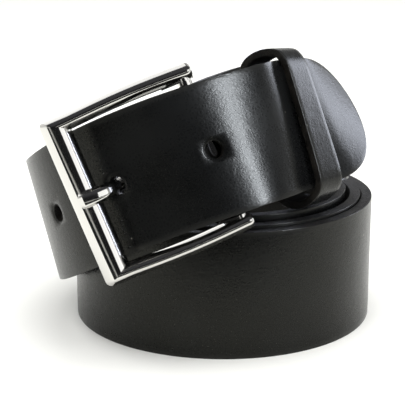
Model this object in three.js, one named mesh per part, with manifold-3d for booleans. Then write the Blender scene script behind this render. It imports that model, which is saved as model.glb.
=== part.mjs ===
// Leather work belt, buckled, rolled into a coil that stands on its edge.
// Millimetres, +Z up. The coil's axis is the Z axis and its lower edge is at z = 0.
// A turn angle runs along the strap in degrees: 0 is the front (-Y), 90 the left (-X),
// and each whole turn adds 360. The tip starts the count, the fold at the buckle ends it.
import * as THREE from 'three'
import { ConvexGeometry } from 'three/addons/geometries/ConvexGeometry.js'
import { mergeVertices } from 'three/addons/utils/BufferGeometryUtils.js'
import Module from 'manifold-3d'

const wasm = await Module()
wasm.setup()

// Strap leather
const strapWidth = 40
const strapThick = 3.4
const edgeBevel = 0.55
const layerGap = 0.4
const layerStep = strapThick + layerGap
const stepTurn = 7.5
const fineStep = { turn: 2.5, from: -82, to: -38 }

// Coil that stands on the floor, measured to the outer face of the leather
const coilRadius = 50.2
const coilRadiusTurn = 270
const coilPitch = 3.78
const coilSlack = { amount: 1.1, from: 700, to: 960 }
const coilRise = { perTurn: 1.7, from: 500 }

// Upper loop, which leans over the coil and carries the buckle
const loop = {
  centre: new THREE.Vector3(-14.2, -2.8, 51.2),
  axisAzimuth: 156.8,
  axisTilt: 22.8,
  radius: 50.7,
  oval: 2.85,
  ovalTurn: -22.2,
  saddle: 2.5,
  lean: -0.098,
}

// Free tip, which leaves the loop before the keeper and runs on almost straight
const tip = { leaveTurn: -45, length: 40, curve: 0.004, twist: -0.29, fall: -0.12, taper: 30, roundness: 3.1 }

// Hidden stretch that climbs out of the hollow behind the buckle
const climb = { radius: 35, low: 22.6, high: 62, from: 1110, to: 1330 }

// Span on each side of the heel bar over which the strap lines up with the bar
const heelHold = { turn: -20, from: 6, to: 28 }

// Where one stretch turns into the next, in turn degrees
const meet = {
  loopToCoil: { from: 90, to: 185 },
  coilToClimb: { from: 1060, to: 1150 },
  climbToLoop: { from: 1262, to: 1326 },
  keeperToLoop: { from: 66, to: 105 },
}
const wholeTurns = 4 * 360

// Dip that the keeper presses into the tip and the layer right under it
const dip = { turn: -57, deep: 1.0, from: 3, to: 16 }

// Holes in the tip end
const holeDiameter = 5
const holeTurns = [-18, 16.3, 51.3, 88, 121.5]

// Buckle frame: flat cast frame in its own axes, u toward the front bar, v up across, h outward
const frame = {
  centre: new THREE.Vector3(-21.9, -50.3, 58.0),
  u: new THREE.Vector3(-0.922, -0.095, -0.377),
  v: new THREE.Vector3(-0.387, 0.156, 0.909),
  long: 47,
  wide: 52,
  bulge: 0.6,
  railWide: 4.7,
  barWide: 8.6,
  corner: 2,
}
const heelBar = { radius: 2.2, u: -20.4, h: -5.3 }
const lug = { radius: 3.1, endRadius: 2.2, reach: 8, inset: 1.4 }

// One row for each point of the frame's section, from the outer wall's foot over the top:
// share is the part of the bar's width, high is the height in mm
const frameSection = [
  { share: 0.0, high: 0.0 },
  { share: 0.0, high: 0.9 },
  { share: 0.27, high: 4.1 },
  { share: 0.42, high: 4.6 },
  { share: 0.62, high: 4.7 },
  { share: 0.82, high: 4.2 },
  { share: 0.96, high: 3.0 },
  { share: 1.0, high: 1.6 },
  { share: 1.0, high: 0.4 },
  { share: 0.9, high: 0.0 },
]

// Prong, with an eye round the heel bar
const prong = { eyeWide: 5, eyeGap: 0.3, eyeThick: 1.6 }
// One row for each place along the prong: u and h of its middle line, and its size there
const prongRows = [
  { u: -17.0, h: -5.3, wide: 4.4, thick: 2.4 },
  { u: -8.0, h: -5.2, wide: 4.4, thick: 2.8 },
  { u: 3.5, h: -5.2, wide: 4.4, thick: 2.8 },
  { u: 6.7, h: -4.6, wide: 4.2, thick: 2.5 },
  { u: 8.4, h: -2.7, wide: 4.0, thick: 2.2 },
  { u: 9.8, h: 0.2, wide: 3.9, thick: 2.2 },
  { u: 11.5, h: 3.6, wide: 4.1, thick: 2.4 },
  { u: 13.7, h: 5.9, wide: 4.4, thick: 2.7 },
  { u: 16.6, h: 6.7, wide: 4.4, thick: 2.9 },
  { u: 19.6, h: 6.5, wide: 4.2, thick: 2.4 },
]
const prongSlot = { wide: 6.4, deep: 9 }

// Keeper loop round the tip, the strap and its folded end. For each millimetre of its width toward
// the buckle it stands higher by topSlope, and further out by tilt and by twist times across
const keeper = { fromTurn: -51.5, toTurn: -63, wall: 2.4, topSlope: 0.06, tilt: 0.005, twist: 0.003 }
// One row for each place that the loop's outer face runs through: millimetres across the strap
// from its middle, and out from its outer face
const keeperRows = [
  { across: 0, out: 3.1 },
  { across: 6, out: 3.05 },
  { across: 12, out: 2.95 },
  { across: 16, out: 2.85 },
  { across: 18.6, out: 2.45 },
  { across: 20.7, out: 1.65 },
  { across: 22.5, out: 0.4 },
  { across: 23.6, out: -1.7 },
  { across: 24.3, out: -4.2 },
  { across: 24.6, out: -6.9 },
  { across: 24.5, out: -9.6 },
  { across: 23.9, out: -12.2 },
  { across: 22.7, out: -14.5 },
  { across: 20.6, out: -16.2 },
  { across: 17.6, out: -17 },
  { across: 12, out: -17.2 },
  { across: 4, out: -17.2 },
  { across: -4, out: -17.2 },
  { across: -12, out: -17.2 },
  { across: -17.3, out: -16.9 },
  { across: -20.7, out: -15.7 },
  { across: -23.1, out: -13.3 },
  { across: -24.5, out: -10.3 },
  { across: -24.9, out: -7.2 },
  { across: -24.5, out: -4.3 },
  { across: -23.5, out: -1.6 },
  { across: -22.1, out: 0.7 },
  { across: -19.8, out: 2.4 },
  { across: -16.6, out: 3.05 },
  { across: -12, out: 3.15 },
  { across: -6, out: 3.15 },
]

// Folded end of the strap and the two hidden rivets that hold it
const fold = { bendGap: 0.3, standOff: 1.2, settle: { from: 20, to: 37 }, endTurn: -75 }
const rivetTurns = [-43.5, -71]
const rivet = { shank: 1.5, head: 3.4, headThick: 0.8, backGap: 0.3, clear: 0.3 }

const leatherBlack = new THREE.MeshStandardMaterial({ color: 0x24262a, roughness: 0.55, metalness: 0 })
const keeperBlack = new THREE.MeshStandardMaterial({ color: 0x2b2d30, roughness: 0.5, metalness: 0 })
const chrome = new THREE.MeshStandardMaterial({ color: 0xd8d9da, roughness: 0.12, metalness: 1 })
const steel = new THREE.MeshStandardMaterial({ color: 0x9a9b9c, roughness: 0.35, metalness: 1 })

const radians = THREE.MathUtils.degToRad
const smooth = (value, span) => THREE.MathUtils.smoothstep(value, span.from, span.to)

// Axes of the upper loop: its axis, and the directions to its front and its left
const axisLean = radians(loop.axisTilt)
const axisTurn = radians(loop.axisAzimuth)
const loopAxis = new THREE.Vector3(
  Math.sin(axisLean) * Math.cos(axisTurn),
  Math.sin(axisLean) * Math.sin(axisTurn),
  Math.cos(axisLean),
)
const loopLeft = new THREE.Vector3(0, -1, 0).cross(loopAxis).normalize()
const loopFront = loopAxis.clone().cross(loopLeft).normalize()

// Buckle frame axes
const frameOut = frame.v.clone().cross(frame.u).normalize()
const frameUp = frame.u.clone().cross(frameOut).normalize()
const frameAlong = frameOut.clone().cross(frameUp).normalize()

function inFrame(u, v, h) {
  return frame.centre.clone()
    .addScaledVector(frameAlong, u)
    .addScaledVector(frameUp, v)
    .addScaledVector(frameOut, h)
}

// Outer-face station on the upper loop
function onLoop(turn) {
  const angle = radians(turn)
  const outward = loopFront.clone().multiplyScalar(Math.cos(angle)).addScaledVector(loopLeft, Math.sin(angle))
  const radius = loop.radius + loop.oval * Math.cos(2 * radians(turn - loop.ovalTurn))
  const spot = loop.centre.clone().addScaledVector(outward, radius)
  spot.addScaledVector(loopAxis, loop.saddle * Math.cos(2 * angle))
  const ruling = loopAxis.clone().addScaledVector(outward, loop.lean * Math.sin(angle)).normalize()
  return { spot, ruling }
}

// Outer-face station on the free tip, beyond the turn where it leaves the loop
function onTip(turn) {
  const run = radians(tip.leaveTurn - turn) * loop.radius
  const here = frameOf(onLoop, tip.leaveTurn)
  const forward = here.along.clone().negate()
  const bend = (tip.curve * run) / 2
  const spot = here.spot.clone().addScaledVector(forward, run * Math.cos(bend))
  spot.addScaledVector(here.normal, -run * Math.sin(bend))
  spot.addScaledVector(here.ruling, (tip.fall * run * run) / (2 * tip.length))
  const share = run / tip.length
  const ruling = here.ruling.clone().addScaledVector(here.normal, tip.twist * share).normalize()
  return { spot, ruling }
}

// The same course with the keeper's dip in it
const dipped = (course) => (turn) => {
  const deep = dip.deep * (1 - smooth(Math.abs(turn - dip.turn), dip))
  if (deep === 0) return course(turn)
  const { spot, normal } = frameOf(course, turn)
  return { spot: spot.addScaledVector(normal, -deep), ruling: course(turn).ruling }
}

// Course of the layers under the tip: they follow it through the keeper, then keep to the loop
function underTip(turn) {
  if (turn > tip.leaveTurn) return onLoop(turn)
  return mixStations(onTip(turn), onLoop(turn), smooth(-turn, meet.keeperToLoop))
}

// Course of a layer that lies below another one by a depth for each turn, so they stay parallel
const layerBelow = (course, depthAt) => (turn) => {
  const { spot, normal } = frameOf(course, turn)
  return { spot: spot.addScaledVector(normal, -depthAt(turn)), ruling: course(turn).ruling }
}
const innerLayer = layerBelow(dipped(underTip), () => layerStep)

// Outer-face station on the coil that stands on the floor
function onCoil(turn) {
  const slack = coilSlack.amount * smooth(turn, coilSlack)
  const radius = coilRadius - (coilPitch * (turn - coilRadiusTurn)) / 360 - slack
  const high = strapWidth / 2 + (coilRise.perTurn * Math.max(0, turn - coilRise.from)) / 360
  return upright(turn, radius, high)
}

// Outer-face station on the hidden climb out of the hollow
function onClimb(turn) {
  return upright(turn, climb.radius, climb.low + (climb.high - climb.low) * smooth(turn, climb))
}

// Station with an upright ruling at a turn, a radius and a height
function upright(turn, radius, high) {
  const angle = radians(turn)
  const spot = new THREE.Vector3(-radius * Math.sin(angle), -radius * Math.cos(angle), high)
  return { spot, ruling: new THREE.Vector3(0, 0, 1) }
}

function mixStations(first, second, share) {
  const spot = first.spot.clone().lerp(second.spot, share)
  const ruling = first.ruling.clone().lerp(second.ruling, share).normalize()
  return { spot, ruling }
}

// The outer pass runs from the tip over the buckle and down to the floor: first as it would lie
// without the keeper, then with the keeper's dip
function onFreePass(turn) {
  if (turn < tip.leaveTurn) return onTip(turn)
  return mixStations(onLoop(turn), onCoil(turn), smooth(turn, meet.loopToCoil))
}
const onOuterPass = dipped(onFreePass)

// The inner pass runs from the coil up the climb and under the tip to the buckle
function onInnerPass(turn) {
  const low = mixStations(onCoil(turn), onClimb(turn), smooth(turn, meet.coilToClimb))
  return mixStations(low, innerLayer(turn - wholeTurns), smooth(turn, meet.climbToLoop))
}

const halfWay = 700
const onStrap = (turn) => (turn < halfWay ? onOuterPass(turn) : onInnerPass(turn))

// Station with its axes: along the strap, across it and out of its outer face.
// Round the heel bar the strap is drawn parallel to the bar.
function frameOf(course, turn) {
  const small = 0.5
  const { spot, ruling } = course(turn)
  const along = course(turn + small).spot.sub(course(turn - small).spot).normalize()
  ruling.addScaledVector(along, -ruling.dot(along)).normalize()
  const fromBar = Math.abs((turn > halfWay ? turn - wholeTurns : turn) - heelHold.turn)
  ruling.lerp(frameUp, 1 - smooth(fromBar, heelHold)).normalize()
  return { spot, along, ruling, normal: ruling.clone().cross(along).normalize() }
}

// Bevelled section of a leather band at a station, as eight points in order
function bandSection(station, halfWide, thick) {
  const bevel = Math.min(edgeBevel, halfWide * 0.4)
  const corners = [
    [halfWide - bevel, 0],
    [halfWide, bevel],
    [halfWide, thick - bevel],
    [halfWide - bevel, thick],
    [bevel - halfWide, thick],
    [-halfWide, thick - bevel],
    [-halfWide, bevel],
    [bevel - halfWide, 0],
  ]
  return corners.map(([across, deep]) =>
    station.spot.clone().addScaledVector(station.ruling, across).addScaledVector(station.normal, -deep))
}

// Closed mesh through a row of sections with equal numbers of points. The two halves of a
// section split their four-sided faces the same way, so neighbouring layers stay parallel.
function loft(sections, ring = false) {
  const count = sections[0].length
  const points = sections.flat().flatMap((point) => point.toArray())
  const faces = []
  const spans = ring ? sections.length : sections.length - 1
  for (let row = 0; row < spans; row += 1) {
    const next = (row + 1) % sections.length
    for (let column = 0; column < count; column += 1) {
      const side = (column + 1) % count
      const a = row * count + column
      const b = row * count + side
      const c = next * count + side
      const d = next * count + column
      if (column < count / 2) faces.push(a, b, c, a, c, d)
      else faces.push(b, c, d, b, d, a)
    }
  }
  if (!ring) {
    const last = (sections.length - 1) * count
    for (let column = 1; column < count - 1; column += 1) {
      faces.push(0, column + 1, column)
      faces.push(last, last + column, last + column + 1)
    }
  }
  const geometry = new THREE.BufferGeometry()
  geometry.setAttribute('position', new THREE.Float32BufferAttribute(points, 3))
  geometry.setIndex(faces)
  return facingOut(geometry)
}

// Turns the faces round where the mesh would enclose a negative volume
function facingOut(geometry) {
  const spots = geometry.getAttribute('position')
  const index = geometry.getIndex()
  const corner = [new THREE.Vector3(), new THREE.Vector3(), new THREE.Vector3()]
  let volume = 0
  for (let start = 0; start < index.count; start += 3) {
    corner.forEach((point, place) => point.fromBufferAttribute(spots, index.getX(start + place)))
    volume += corner[0].dot(corner[1].clone().cross(corner[2]))
  }
  if (volume < 0) {
    for (let start = 0; start < index.count; start += 3) {
      const second = index.getX(start + 1)
      index.setX(start + 1, index.getX(start + 2))
      index.setX(start + 2, second)
    }
  }
  return geometry
}

// Geometry to solid and back, for cuts and joins
function solidOf(geometry) {
  const bare = geometry.clone()
  bare.deleteAttribute('normal')
  bare.deleteAttribute('uv')
  const merged = mergeVertices(bare, 1e-4)
  const vertProperties = new Float32Array(merged.getAttribute('position').array)
  const triVerts = new Uint32Array(merged.getIndex().array)
  return new wasm.Manifold(new wasm.Mesh({ numProp: 3, vertProperties, triVerts }))
}

function geometryOf(solid) {
  const mesh = solid.getMesh()
  const geometry = new THREE.BufferGeometry()
  geometry.setAttribute('position', new THREE.BufferAttribute(mesh.vertProperties, 3))
  geometry.setIndex(new THREE.BufferAttribute(mesh.triVerts, 1))
  geometry.computeVertexNormals()
  return geometry
}

// Moves a geometry from its own x and y to two axes at an origin
function placed(geometry, xAxis, yAxis, origin) {
  const zAxis = xAxis.clone().cross(yAxis)
  const matrix = new THREE.Matrix4().makeBasis(xAxis, yAxis, zAxis).setPosition(origin)
  return geometry.applyMatrix4(matrix)
}

// Round pin along a station's normal, from deep below the outer face to high above it
function pinAt(station, radius, deep, high, sides = 16) {
  const pin = new THREE.CylinderGeometry(radius, radius, deep + high, sides)
  pin.translate(0, (high - deep) / 2, 0)
  return placed(pin, station.along, station.normal, station.spot)
}

// Half width of the strap at a turn: full, then rounding to the tip
function halfWidthAt(turn) {
  const run = radians(tip.leaveTurn - turn) * loop.radius
  const past = Math.max(0, run - (tip.length - tip.taper)) / tip.taper
  return (strapWidth / 2) * Math.sqrt(Math.max(0, 1 - Math.min(past, 1) ** tip.roundness))
}

// The tip is drawn in steps that close up toward its end, and its last bit is cut square
const tipSteps = 18
const tipTrim = 0.12
const tipTurn = tip.leaveTurn - THREE.MathUtils.radToDeg(tip.length / loop.radius)
const heelTurn = turnOverHeelBar()
const foldRadius = heelBar.radius + fold.bendGap + strapThick
const foldDepth = 2 * layerStep + strapThick + fold.standOff

// The turn whose inner pass lies right above the heel bar
function turnOverHeelBar() {
  const bar = inFrame(heelBar.u, 0, heelBar.h)
  let best = { turn: 0, gap: Infinity }
  for (let turn = -30; turn <= -10; turn += 0.1) {
    const gap = Math.abs(bar.clone().sub(onLoop(turn).spot).dot(frameOf(onLoop, turn).along))
    if (gap < best.gap) best = { turn, gap }
  }
  return best.turn
}

// Step from one section to the next, finer where the keeper presses on the layers
function stepAt(turn) {
  const local = turn > halfWay ? turn - wholeTurns : turn
  return local > fineStep.from && local < fineStep.to ? fineStep.turn : stepTurn
}

// The folded end lies under the inner pass, with its outer face inward
function foldStations() {
  const top = frameOf(innerLayer, heelTurn)
  const middle = top.spot.clone().addScaledVector(top.normal, -foldRadius)
  const stations = []
  for (let angle = 15; angle <= 180; angle += 15) {
    const normal = top.normal.clone().multiplyScalar(Math.cos(radians(angle)))
    normal.addScaledVector(top.along, Math.sin(radians(angle)))
    const spot = middle.clone().addScaledVector(normal, foldRadius)
    stations.push({ spot, ruling: top.ruling.clone(), normal })
  }
  const nearBar = layerStep + 2 * foldRadius
  const settled = foldDepth
  const foldLayer = layerBelow(underTip, (turn) =>
    THREE.MathUtils.mapLinear(smooth(-turn, fold.settle), 0, 1, nearBar, settled))
  const firstTurn = tip.leaveTurn + 2 * stepTurn
  const turns = [heelTurn - 3, (heelTurn - 3 + firstTurn) / 2]
  for (let turn = firstTurn; turn >= fold.endTurn; turn -= stepAt(turn)) turns.push(turn)
  turns.forEach((turn) => {
    const station = frameOf(foldLayer, turn)
    stations.push({ ...station, normal: station.normal.clone().negate() })
  })
  return stations
}

function makeStrap() {
  const sections = []
  const addSection = (station, halfWide) => sections.push(bandSection(station, halfWide, strapThick))
  for (let step = 0; step < tipSteps; step += 1) {
    const turn = tipTurn + tipTrim + (tip.leaveTurn - tipTurn) * (step / tipSteps) ** 1.7
    addSection(frameOf(onStrap, turn), halfWidthAt(turn))
  }
  const lastTurn = heelTurn + wholeTurns
  for (let turn = tip.leaveTurn + tipTrim; turn < lastTurn - 2; turn += stepAt(turn)) {
    addSection(frameOf(onStrap, turn), strapWidth / 2)
  }
  addSection(frameOf(innerLayer, heelTurn), strapWidth / 2)
  foldStations().forEach((station) => addSection(station, strapWidth / 2))
  let strap = solidOf(loft(sections))
  holeTurns.forEach((turn) => {
    strap = strap.subtract(solidOf(pinAt(frameOf(onOuterPass, turn), holeDiameter / 2, strapThick + 1.2, 1.5)))
  })
  rivetTurns.forEach((turn) => {
    strap = strap.subtract(rivetSolid(turn, rivet.clear))
  })
  return geometryOf(strap.subtract(solidOf(slotCutter())))
}

// Slot in the fold where the prong's eye turns on the heel bar
function slotCutter() {
  const box = new THREE.BoxGeometry(2 * prongSlot.deep, prongSlot.wide, 2 * foldRadius + 1)
  const forward = prongSlot.deep - prong.eyeThick - prong.eyeGap - heelBar.radius - 1.2
  return placed(box, frameAlong, frameUp, inFrame(heelBar.u + forward, 0, heelBar.h - 0.6))
}

// Frame: front bar and two rails from one section, two lugs and the heel bar
function makeBuckleFrame() {
  const rail = (side) => railShares.map((share) => railSection(share, side))
  const corner = (side) => cornerAngles.map((angle) => cornerSection(radians(angle), side))
  const sections = [...rail(-1), ...corner(-1).reverse(), ...corner(1), ...rail(1).reverse()]
  let body = solidOf(loft(sections))
  for (const side of [-1, 1]) body = body.add(solidOf(makeLug(side)))
  const bar = new THREE.CylinderGeometry(heelBar.radius, heelBar.radius, frame.wide - frame.railWide, 16)
  return geometryOf(body.add(solidOf(placed(bar, frameAlong, frameUp, inFrame(heelBar.u, 0, heelBar.h)))))
}

// Section of a rail, from its end by the heel bar at share 0 to the front corner at share 1.
// The rails bow outward a little between their ends.
const railShares = [0, 0.2, 0.4, 0.6, 0.8]
function railSection(share, side) {
  const end = lug.endRadius - frame.long / 2
  const u = end + (frame.long / 2 - frame.barWide - end) * share
  const outer = frame.wide / 2 + frame.bulge * Math.sin(Math.PI * share)
  return frameSection.map((row) => inFrame(u, side * (outer - row.share * frame.railWide), row.high))
}

// Section at a front corner, from the front bar's side at 0 degrees to the rail's side at 90:
// the outer wall follows the rounded corner, the rest is mitred
const cornerAngles = [0, 30, 60, 90]
function cornerSection(angle, side) {
  return frameSection.map(({ share, high }) => {
    const ease = frame.corner * Math.max(0, 1 - share / 0.42)
    const u = frame.long / 2 - share * frame.barWide - ease * (1 - Math.cos(angle))
    const v = frame.wide / 2 - share * frame.railWide - ease * (1 - Math.sin(angle))
    return inFrame(u, side * v, high)
  })
}

// Lug that carries the heel bar below a rail's end
function makeLug(side) {
  const outer = frame.wide / 2
  const inner = outer - frame.railWide
  const end = lug.endRadius - frame.long / 2
  const points = []
  for (const v of [inner, outer - lug.inset]) {
    for (let step = 0; step < 12; step += 1) {
      const angle = radians(step * 30)
      const around = (u, h, radius) =>
        points.push(inFrame(u + radius * Math.cos(angle), side * v, h + radius * Math.sin(angle)))
      around(heelBar.u, heelBar.h, lug.radius)
      around(end, lug.endRadius, lug.endRadius)
    }
    points.push(inFrame(end + lug.reach, side * v, 0.4))
  }
  return facingOut(mergeVertices(new ConvexGeometry(points).deleteAttribute('normal'), 1e-4))
}

function makeProng() {
  const sections = prongRows.map((row, place) => {
    const before = prongRows[Math.max(0, place - 1)]
    const after = prongRows[Math.min(prongRows.length - 1, place + 1)]
    const slope = Math.atan2(after.h - before.h, after.u - before.u)
    const points = []
    for (let step = 0; step < 8; step += 1) {
      const angle = radians(22.5 + step * 45)
      const v = (row.wide / 2) * Math.sign(Math.cos(angle)) * Math.abs(Math.cos(angle)) ** 0.45
      const deep = (row.thick / 2) * Math.sign(Math.sin(angle)) * Math.abs(Math.sin(angle)) ** 0.45
      points.push(inFrame(row.u - deep * Math.sin(slope), v + prongSide(row.u), row.h + deep * Math.cos(slope)))
    }
    return points
  })
  const inner = heelBar.radius + prong.eyeGap
  const outer = inner + prong.eyeThick
  const half = prong.eyeWide / 2
  const profile = [[inner, -half], [outer, -half], [outer, half], [inner, half], [inner, -half]]
  const eye = new THREE.LatheGeometry(profile.map(([x, y]) => new THREE.Vector2(x, y)), 20)
  placed(eye, frameAlong, frameUp, inFrame(heelBar.u, 0, heelBar.h))
  return geometryOf(solidOf(loft(sections)).add(solidOf(facingOut(eye))))
}

// The prong's middle shifts to the middle of the strap where it comes through the hole
function prongSide(u) {
  const hole = frameOf(onOuterPass, holeTurns[1]).spot.sub(frame.centre)
  return hole.dot(frameUp) * THREE.MathUtils.smoothstep(u, heelBar.u, hole.dot(frameAlong))
}

// Keeper: a flat leather band closed into a loop that runs through its rows
function makeKeeper() {
  const station = frameOf(onFreePass, (keeper.fromTurn + keeper.toTurn) / 2)
  const wide = onFreePass(keeper.fromTurn).spot.distanceTo(onFreePass(keeper.toTurn).spot)
  const rows = keeperRows.map(({ across, out }) => new THREE.Vector3(across, out, 0))
  const path = new THREE.CatmullRomCurve3(rows, true, 'catmullrom', 0.5)
  const steps = 3 * rows.length
  const inPlane = (across, out) => new THREE.Vector3()
    .addScaledVector(station.ruling, across)
    .addScaledVector(station.normal, out)
  const sections = []
  for (let step = 0; step < steps; step += 1) {
    const point = path.getPoint(step / steps)
    const way = path.getTangent(step / steps)
    const slope = keeper.topSlope * THREE.MathUtils.smoothstep(point.x, 6, 24)
    sections.push(bandSection({
      spot: station.spot.clone().add(inPlane(point.x, point.y)),
      ruling: station.along.clone().add(inPlane(slope, keeper.tilt + keeper.twist * point.x)),
      normal: inPlane(-way.y, way.x),
    }, wide / 2, keeper.wall))
  }
  return geometryOf(solidOf(loft(sections, true)))
}

// Rivet through the inner pass and the folded end: shank, sunk head and back head. With a clear
// distance it is the room that the leather leaves for it.
function rivetSolid(turn, clear = 0) {
  const station = frameOf(innerLayer, turn)
  const deep = 2 * strapThick + layerGap + fold.standOff + rivet.backGap
  const back = { ...station, spot: station.spot.clone().addScaledVector(station.normal, -deep) }
  return solidOf(pinAt(station, rivet.shank + clear, deep + 0.2, clear, 12))
    .add(solidOf(pinAt(station, rivet.head + clear, rivet.headThick + clear, clear)))
    .add(solidOf(pinAt(back, rivet.head + clear, rivet.headThick, 2 * clear)))
}

const belt = new THREE.Group()

function addPiece(name, geometry, material) {
  const mesh = new THREE.Mesh(geometry, material)
  mesh.name = name
  belt.add(mesh)
}

addPiece('strap', makeStrap(), leatherBlack)
addPiece('keeper', makeKeeper(), keeperBlack)
addPiece('buckle_frame', makeBuckleFrame(), chrome)
addPiece('prong', makeProng(), chrome)
rivetTurns.forEach((turn, place) => addPiece(`fold_rivet_${place + 1}`, geometryOf(rivetSolid(turn)), steel))

// The origin is under the middle of the belt's bounding box
const box = new THREE.Box3().setFromObject(belt)
const middle = box.getCenter(new THREE.Vector3())
belt.position.set(-middle.x, -middle.y, -box.min.z)
belt.updateMatrixWorld(true)

export default belt
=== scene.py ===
import math
from bisect import bisect_right

import bmesh
import bpy
from mathutils import Matrix, Vector


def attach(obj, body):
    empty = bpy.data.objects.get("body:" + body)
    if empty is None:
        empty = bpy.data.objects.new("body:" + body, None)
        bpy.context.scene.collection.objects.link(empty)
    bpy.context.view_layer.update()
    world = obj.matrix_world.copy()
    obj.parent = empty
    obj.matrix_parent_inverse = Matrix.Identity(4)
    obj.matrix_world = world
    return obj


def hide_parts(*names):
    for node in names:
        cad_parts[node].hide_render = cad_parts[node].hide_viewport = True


# A leather work belt, buckled and rolled up. Lengths are worked out in millimetres in the axes
# of the coil, and "place" turns them into metres over the middle of the belt's own box.
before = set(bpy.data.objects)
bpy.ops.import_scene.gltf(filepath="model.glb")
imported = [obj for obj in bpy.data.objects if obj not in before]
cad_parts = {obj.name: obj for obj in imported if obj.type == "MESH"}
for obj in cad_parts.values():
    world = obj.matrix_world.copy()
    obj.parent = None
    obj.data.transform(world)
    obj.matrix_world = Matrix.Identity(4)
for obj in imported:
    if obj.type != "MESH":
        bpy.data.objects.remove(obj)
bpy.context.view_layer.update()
metre = 0.001
boxShift = Vector((6.8177, 4.6038, 0))
print("frame loaded:", ", ".join(sorted(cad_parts)))


def place(point):
    return (point + boxShift) * metre


def smooth(value, start, end):
    share = min(max((value - start) / (end - start), 0), 1)
    return share * share * (3 - 2 * share)


# Course of the strap: a turn angle in degrees, 0 in front, 90 at the left, 360 more each round.
# A pair named "...Over" says where the passage from one form into the next starts and ends.
strap = {
    "width": 40, "thick": 3.4, "layerStep": 3.8, "edgeBevel": 0.6, "wornAndHighlightOver": (-0.8, -0.1),
    # coil
    "coilRadius": 50.2, "coilRadiusTurn": 270, "coilPitch": 3.78,
    "slack": 1.1, "slackOver": (700, 960), "rise": 1.7, "riseFrom": 500,
    # tilted loop in front
    "loopCentre": (-14.2, -2.8, 51.2), "axisAzimuth": 156.8, "axisTilt": 22.8,
    "loopRadius": 50.7, "oval": 2.85, "ovalTurn": -22.2, "saddle": 2.5, "lean": -0.098,
    "underTipOver": (66, 105), "ontoCoilOver": (90, 185),
    # tip
    "leaveTurn": -45, "tipLength": 40, "tipCurve": 0.004, "tipTwist": -0.29, "tipFall": -0.12,
    "taper": 30, "roundness": 3.1, "tipFlat": 1.44, "tipColumns": 6,
    # climb from the innermost turn to the front
    "climbRadius": 35, "climbLow": 22.6, "climbHigh": 62, "climbOver": (1110, 1330),
    "offCoilOver": (1060, 1150), "ontoLoopOver": (1262, 1326), "wholeTurns": 1440, "halfWay": 700,
    # holes: the three pairs are how far along and across from a hole's middle a thing is its own
    "holeTurns": (-18, 16.3, 51.3, 88, 121.5), "hole": 5.4, "holeSides": 32, "holeRing": 1.1,
    "holeSteps": (0.75, 0.35, 0.0), "holeCut": (5.2, 4), "holeLoose": (8, 5), "holeRim": (3, 3),
    "holeBevel": 0.3, "pressed": 0.5, "pressWide": 1.4,
    # dip under the keeper, less deep in the middle of the strap
    "dipTurn": -57, "dip": 1.0, "dipOver": (3, 16),
    "crown": 0.35, "crownAlong": (4, 17), "crownAcross": (7, 17), "crownEnd": 60,
    # folded end round the heel bar
    "heelTurn": -20.0, "squareOver": (6, 28), "foldRadius": 5.9, "foldStandOff": 1.2,
    "foldStartTurn": -23, "foldEndTurn": -75, "settleOver": (20, 37),
    "slotWide": 6.4, "slotBack": 5.9, "slotShare": 0.2,
    # fineness
    "turnStep": 1.5, "heelStep": 6, "foldStep": 2, "columns": 2.6, "firstColumn": 0.75,
    "columnGrowth": 1.14, "slotColumns": 1.1, "rows": 20,
}
buckle = {
    "centre": (-21.9, -50.3, 58.0), "along": (-0.922, -0.095, -0.377), "across": (-0.387, 0.156, 0.909),
    "long": 47, "wide": 52, "railWide": 5.1, "barWide": 8.6, "bulge": 0.6, "railSteps": 8,
    "railStop": 0.2, "corner": 2.0, "cornerShare": 0.42, "cornerSteps": 6, "sharp": 0.75,
    "endLength": 2.2, "endShrink": 0.75, "endHigh": 2.3, "endShares": (1, 0.94, 0.8, 0.6, 0.35),
    "barRadius": 2.2, "barSides": 32, "barAlong": -20.4, "barHigh": -5.3,  # heel bar
}

buckleOut = Vector(buckle["across"]).cross(Vector(buckle["along"])).normalized()
buckleUp = Vector(buckle["along"]).cross(buckleOut).normalized()
buckleAlong = buckleOut.cross(buckleUp).normalized()
tilt, azimuth = math.radians(strap["axisTilt"]), math.radians(strap["axisAzimuth"])
loopAxis = Vector((math.sin(tilt) * math.cos(azimuth), math.sin(tilt) * math.sin(azimuth),
                   math.cos(tilt)))
loopLeft = Vector((0, -1, 0)).cross(loopAxis).normalized()
loopFront = loopAxis.cross(loopLeft).normalized()


def inBuckle(along, across, high):
    return Vector(buckle["centre"]) + buckleAlong * along + buckleUp * across + buckleOut * high


def blend(first, second, share):
    return first[0].lerp(second[0], share), first[1].lerp(second[1], share).normalized()


# Each course gives a spot on the outer face at mid width, and the direction across the strap
def onLoop(turn):
    angle = math.radians(turn)
    outward = loopFront * math.cos(angle) + loopLeft * math.sin(angle)
    radius = strap["loopRadius"] + strap["oval"] * math.cos(2 * math.radians(turn - strap["ovalTurn"]))
    spot = Vector(strap["loopCentre"]) + outward * radius + loopAxis * strap["saddle"] * math.cos(2 * angle)
    return spot, (loopAxis + outward * strap["lean"] * math.sin(angle)).normalized()


def onTip(turn):
    run = math.radians(strap["leaveTurn"] - turn) * strap["loopRadius"]
    start, along, across, out = axesAt(onLoop, strap["leaveTurn"])
    bend = strap["tipCurve"] * run / 2
    spot = start - along * run * math.cos(bend) - out * run * math.sin(bend)
    spot += across * strap["tipFall"] * run * run / (2 * strap["tipLength"])
    return spot, (across + out * strap["tipTwist"] * run / strap["tipLength"]).normalized()


def underTip(turn):
    if turn > strap["leaveTurn"]:
        return onLoop(turn)
    return blend(onTip(turn), onLoop(turn), smooth(-turn, *strap["underTipOver"]))


def layerBelow(course, turn, deep):
    spot, *_, out = axesAt(course, turn)
    return spot - out * deep, course(turn)[1]


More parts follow.
